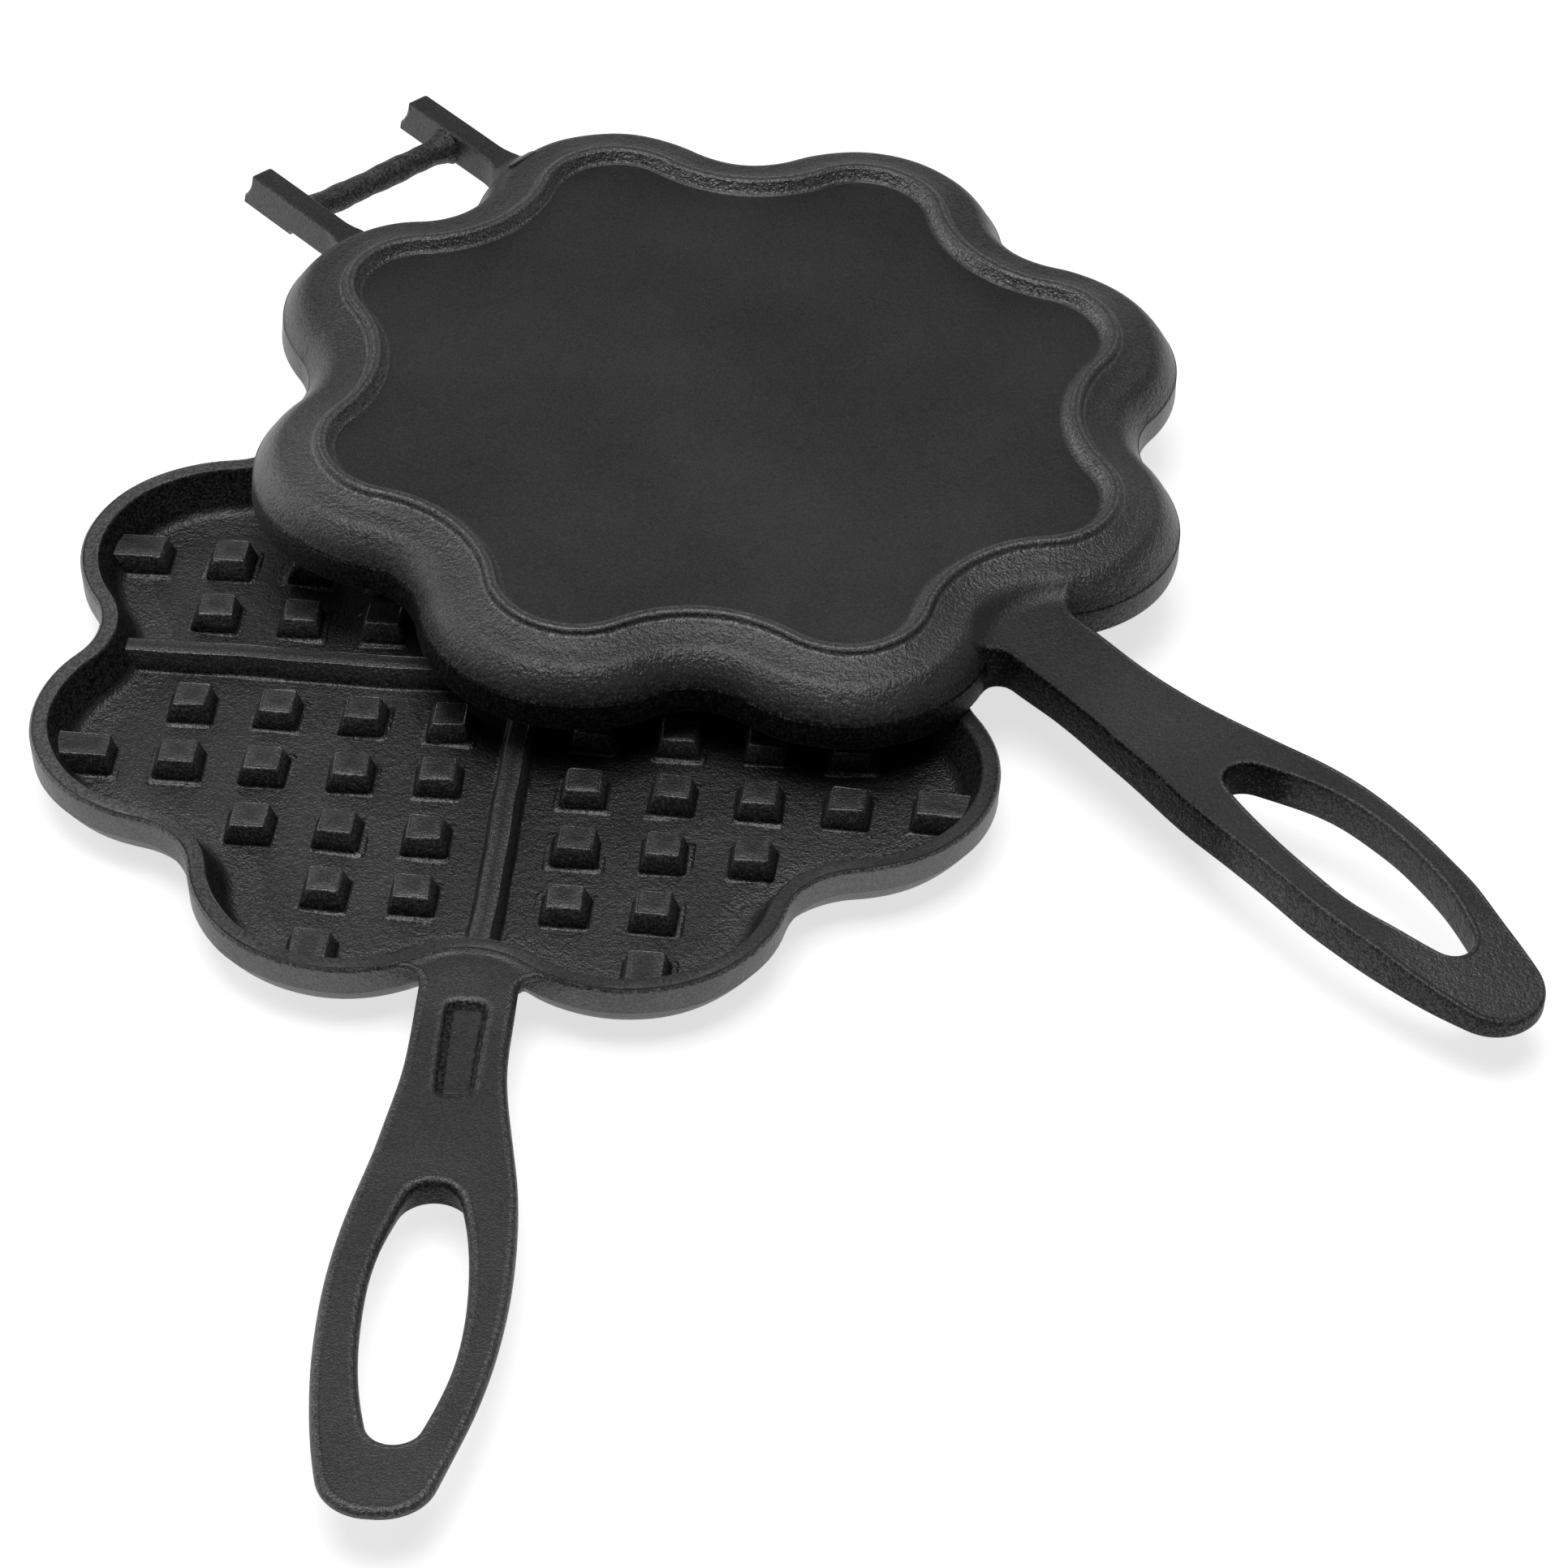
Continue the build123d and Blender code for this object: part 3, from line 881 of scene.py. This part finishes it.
    for layer in (0, layers - 1):
        face = rows_between(layer, np.arange(stations))
        if layer == 0:
            level, line, deep = neck_tones(face[..., 0], face[..., 1])
            casting.add(face, level, line * form.grooved, deep * form.grooved)
        else:
            casting.add(face, 0.75)
        ring = np.concatenate([face[-1], outer[layer][around]])
        share = np.linspace(0, 1, between_rows)[:, None, None]
        plan = eye_edge[layer][None, :, :2] * (1 - share) + ring[None, :, :2] * share
        # Towards the upper handle's tip the faces turn lighter and rougher.
        tip = form.tip_lighter * blend_step(tip_lighter_start, tip_lighter_end, -plan[..., 1])
        casting.add(raised(plan, layer), 0.85 - 0.4 * tip, 0.12 * tip, closed=True)
    casting.add(np.stack([rows_between(layer, np.arange(1))[0] for layer in range(layers)]))

    def bowed(points):
        """Points moved sideways, as the cast handle isn't quite straight."""
        place = -points[:, 1]
        shift = bands(place, form.bows) + form.tip_bow * blend_step(tip_bow_start, tip_bow_end, place)
        return points + shift[:, None] * [1, 0, 0]

    casting.points = [bowed(sheet) for sheet in casting.points]
    return casting


# Hinge


def hinge_turned(points):
    """Points turned a little about the plate centre: the hinge isn't cast quite square to the handle."""
    return points @ turned(2, hinge_turn).T


def arm_loop():
    """Side outline of a hinge arm as (along, height): top and hollowed end, then the relieved underside."""
    down = np.linspace(arm_hollow_top, arm_height - arm_hollow_end, hollow_points)
    hollow_y = arm_tip - arm_end_depth + arm_end_arc - np.sqrt(arm_end_arc**2 - down**2)
    hollow = np.stack([hollow_y, arm_height - down], axis=-1)
    top = rounded_path([
        (arm_root, arm_height, 0), (arm_tip - arm_end_depth, arm_height, 0.5), (*hollow[0], 0),
    ])
    top = np.concatenate([top, hollow[1:], [arm_nose]])
    under = rounded_path([
        (arm_under_root, arm_relief, 0), (bar_place - 0.4, arm_relief, 0.3), (bar_place + 0.3, 0, 0.3),
        (arm_tip - 0.05, 0, 0.4), (*arm_nose, 0),
    ])
    return np.concatenate([resampled(top, arm_points), resampled(under, arm_points)[-2::-1]])


def arms():
    """Hinge arms: the side outline drawn across the arm between round edges, filleted into the dome."""
    loop = arm_loop()
    inward, from_left, from_right = edge_rows(arm_round, 0.2)
    layers = len(inward)
    on_left = np.arange(layers) < layers // 2
    across = np.where(on_left, from_left - arm_width / 2, arm_width / 2 - from_right)
    plans = loop + inward[:, None, None] * sideways(loop, True)
    shell = np.concatenate([np.broadcast_to(across[:, None, None], plans.shape[:2] + (1,)), plans], axis=-1)
    sheets = [(shell, 0.2 * hump(rows_deep(layers), 2, 0.9), True)]
    share = np.linspace(0, 1, arm_rows)[:, None, None]
    for side in (shell[0], shell[-1]):
        sheets.append((side[:arm_points] * (1 - share) + side[arm_points - 1:][::-1] * share, 0.0, False))
    casting = Casting()
    for middle in (arm_inner + arm_width / 2, -arm_inner - arm_width / 2):
        for points, edge, closed in sheets:
            x, y, z = points[..., 0], points[..., 1], points[..., 2]
            flare = 1 + arm_flare * np.clip(1 - (y - arm_flare_place) / arm_flare_run, 0, 1) ** 2
            lift = soft_max(z, dome_skin(x + middle, y) - skin_gap, arm_fillet) - z
            high = z + lift * np.clip(z / bar_height - 1, 0, 1)
            arm = np.stack([x * flare + middle, y, high], axis=-1)
            # Ground faces, light edge lines of wear and painted highlight, and a little painted shade all
            # over.
            casting.add(hinge_turned(arm), 0.7, edge, 0.2, closed=closed)
    return casting


def bar():
    """Hinge bar: a circle drawn from arm to arm, its radius growing in a hollow curve at each end."""
    ends = np.concatenate([np.linspace(14.6, arm_inner, 12), [bar_reach]])
    across = np.concatenate([-ends[::-1], np.linspace(-13.5, 13.5, 16), ends])[:, None]
    gap = np.clip((np.abs(across) - bar_flare_start) / bar_flare_run, 0, 1)
    flare = bar_flare * (1 - np.sqrt(1 - 0.96 * gap**2))
    radius = bar_radius - bar_waist + ripple(across, bar_ripples) + flare
    angle = np.linspace(0, TURN, bar_points, endpoint=False)
    y = bar_place + radius * np.cos(angle)
    z = bar_height + np.clip(radius * np.sin(angle), -bar_flare_below, bar_flare_above)
    casting = Casting()
    # A light tone of wear and painted highlight and a painted shade, both even over the whole bar.
    tube(hinge_turned(np.stack(np.broadcast_arrays(across, y, z), axis=-1)), casting, 0.0, 0.2, 0.6)
    return casting


# Materials


class Socket:
    """A socket that takes part in sums: an expression on values adds its Math nodes."""

    def __init__(self, tree, socket):
        self.tree = tree
        self.socket = socket

    def maths(self, operation, *values):
        """Math node with an operation on sockets or numbers."""
        node = self.tree.nodes.new("ShaderNodeMath")
        node.operation = operation
        for slot, value in zip(node.inputs, values):
            put(self.tree, slot, value)
        return Socket(self.tree, node.outputs[0])

    def __add__(self, other):
        return self.maths("ADD", self, other)

    def __radd__(self, other):
        return self.maths("ADD", other, self)

    def __sub__(self, other):
        return self.maths("SUBTRACT", self, other)

    def __rsub__(self, other):
        return self.maths("SUBTRACT", other, self)

    def __mul__(self, other):
        return self.maths("MULTIPLY", self, other)

    def __rmul__(self, other):
        return self.maths("MULTIPLY", other, self)


def put(tree, slot, value):
    """Links a socket to an input, or sets the input to a number or colour."""
    if isinstance(value, Socket):
        tree.links.new(value.socket, slot)
    else:
        slot.default_value = value


class Finish:
    """A node tree under construction, of a material or of the room."""

    def __init__(self, owner):
        owner.use_nodes = True
        self.owner = owner
        self.tree = owner.node_tree
        self.tree.nodes.clear()

    def node(self, kind, values=None, settings=None, output=0):
        """Adds a node: its settings first, then values or links for its inputs by name or number."""
        made = self.tree.nodes.new("ShaderNode" + kind)
        for key, value in (settings or {}).items():
            setattr(made, key, value)
        for key, value in (values or {}).items():
            put(self.tree, made.inputs[key], value)
        return Socket(self.tree, made.outputs[output])

    def tone(self, label):
        """One of the tones that the pieces carry."""
        return self.node("Attribute", settings={"attribute_name": label}, output="Fac")

    def grain(self, scale, detail, where):
        """Noise of a fineness given in grains per metre."""
        return self.node("TexNoise", {"Scale": scale, "Detail": detail, "Roughness": 0.55, "Vector": where})

    def slope(self, value, low, high, start=0.0, end=1.0, kind="LINEAR"):
        """Goes from start to end while a value goes from low to high."""
        limits = {"Value": value, "From Min": low, "From Max": high, "To Min": start, "To Max": end}
        return self.node("MapRange", limits, {"interpolation_type": kind})

    def colour(self, share, one, other):
        """Colour between two colours by a share; inputs 6 and 7 and output 2 of the node are its colours."""
        return self.node("Mix", {"Factor": share, 6: one, 7: other}, {"data_type": "RGBA"}, output=2)

    def done(self, kind, shader):
        """Sends a shader to the output and returns what the tree belongs to."""
        out = self.tree.nodes.new("ShaderNodeOutput" + kind)
        put(self.tree, out.inputs["Surface"], shader)
        return self.owner


def grey(value):
    """Neutral colour."""
    return (value, value, value, 1)


def iron():
    """Oiled cast iron: sandy where cast, smooth where ground, light on edges with wear and painted highlight,
    near black and less metallic under painted shade.
    """
    finish = Finish(bpy.data.materials.new("oiled_cast_iron"))
    where = finish.node("TexCoord", output="Object")
    ground, edge, dark = finish.tone("ground"), finish.tone("edge"), finish.tone("dark")
    sand = finish.grain(1500.0, 3.0, where)
    lumps = finish.grain(600.0, 3.0, where)
    clouds = finish.grain(26.0, 3.0, where)
    speckle = finish.grain(2400.0, 1.0, where)
    height = (sand * 0.7 + lumps * 0.6) * (1 - ground) + speckle * 0.15
    bump = finish.node("Bump", {"Strength": 1.0, "Distance": 0.00045, "Height": height})
    tone = finish.slope(clouds * 0.35 + speckle * 0.4 + sand * 0.25, 0.36, 0.64)
    spark = finish.slope(sand * 0.6 + speckle * 0.4, 0.42, 0.62)
    sandy = finish.colour(tone, grey(0.075), grey(0.165))
    smooth = finish.colour(tone, grey(0.055), grey(0.112))
    # The dark tone, broken into patches by the grain, is painted shade: it turns the colour near black and
    # the iron less metallic.
    patchy = dark * (1.08 + lumps * 0.5 - spark * 0.6)
    painted_shade_colour = finish.colour(patchy, finish.colour(ground, sandy, smooth), grey(0.006))
    # The edge tone gives light lines of wear and painted highlight, speckled by the grain.
    skin = finish.node("BsdfPrincipled", {
        "Base Color": finish.colour(edge * (0.25 + spark * 0.75), painted_shade_colour, grey(0.42)),
        "Roughness": 0.36 + sand * 0.12 + ground * 0.03,
        "Metallic": 1 - patchy * 0.85,
        "Specular IOR Level": 0.05,
        "Normal": bump,
    })
    return finish.done("Material", skin)


# Pieces of the two castings

cast_iron = iron()
for half in ("lower", "upper"):
    pan(half).piece(half + "_pan_casting", half, [half + "_pan"], cast_iron)
    ribs().piece(half + "_cross_ribs", half, [half + "_ribs"], cast_iron)
    blocks(half).piece(half + "_waffle_blocks", half, [half + "_blocks"], cast_iron, amount=0.11, length=3.4)
    handle(half).piece(half + "_eye_handle", half, [half + "_handle"], cast_iron)
arms().piece("upper_arms", "upper", ["upper_hinge_arms"], cast_iron)
bar().piece("upper_bar", "upper", ["upper_hinge_bar"], cast_iron)

# The cradle under the upper half keeps its solid, in the same iron
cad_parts["lower_hinge_hook"].data.materials[0] = cast_iron

# Table, light and camera


def table(reach=6.0):
    """Pale table: lit paper that keeps the shadow, white for the eye and in reflections."""
    mesh = bpy.data.meshes.new("table")
    corners = [(-reach, -reach, 0), (reach, -reach, 0), (reach, reach, 0), (-reach, reach, 0)]
    mesh.from_pydata(corners, [], [(0, 1, 2, 3)])
    thing = bpy.data.objects.new("table", mesh)
    bpy.context.scene.collection.objects.link(thing)
    finish = Finish(bpy.data.materials.new("pale_table"))
    paper = finish.node("BsdfDiffuse", {"Color": grey(0.86)})
    seen = finish.node("LightPath", output="Is Camera Ray")
    mirrored = finish.node("LightPath", output="Is Glossy Ray")
    glow = finish.node("Emission", {"Color": grey(1), "Strength": seen * 0.68 + mirrored * 0.65})
    mesh.materials.append(finish.done("Material", finish.node("AddShader", {0: paper, 1: glow})))


def lamp(name, place, size, power):
    """Soft square lamp at a place, turned to the middle of the iron."""
    data = bpy.data.lights.new(name, "AREA")
    data.size = size
    data.energy = power
    thing = bpy.data.objects.new(name, data)
    bpy.context.scene.collection.objects.link(thing)
    thing.location = place
    thing.rotation_euler = (-Vector(place)).to_track_quat("-Z", "Y").to_euler()


def room():
    """White room for the eye; for the iron pale along the horizon, dim overhead, in front and at right."""
    finish = Finish(bpy.data.worlds.new("white_room"))
    seen = finish.node("LightPath", output="Is Camera Ray")
    way = finish.node("TexCoord", output="Generated")
    x, y, z = (finish.node("SeparateXYZ", {"Vector": way}, output=axis) for axis in "XYZ")
    overhead = finish.slope(z, 0.05, 0.5, 0.75, 0.24, "SMOOTHSTEP")
    front = finish.slope(y, -0.6, 0.15, 0.06, 1.0, "SMOOTHSTEP")
    horizon = finish.slope(z, 0.1, 0.4, 0.16, 0.0)
    right = finish.slope(x, 0.1, 0.7, 1.0, 0.45)
    light = overhead * (front + horizon) * right
    back = finish.node("Background", {"Color": grey(1), "Strength": light * (1 - seen) + seen})
    bpy.context.scene.world = finish.done("World", back)


table()
room()
lamp("top_light", (-0.1, -0.05, 1.35), size=1.0, power=9)
lamp("left_light", (-1.4, 0.5, 0.5), size=0.8, power=2.8)

lens = bpy.data.cameras.new("camera")
lens.sensor_width = 36
lens.lens = 115.0467
camera = bpy.data.objects.new("camera", lens)
bpy.context.scene.collection.objects.link(camera)
camera.location = (0.046047, -0.737378, 0.646721)
camera.rotation_euler = np.radians([49.112214, -1.344424, 4.688953])
bpy.context.scene.camera = camera
bpy.context.scene.view_settings.view_transform = "Standard"
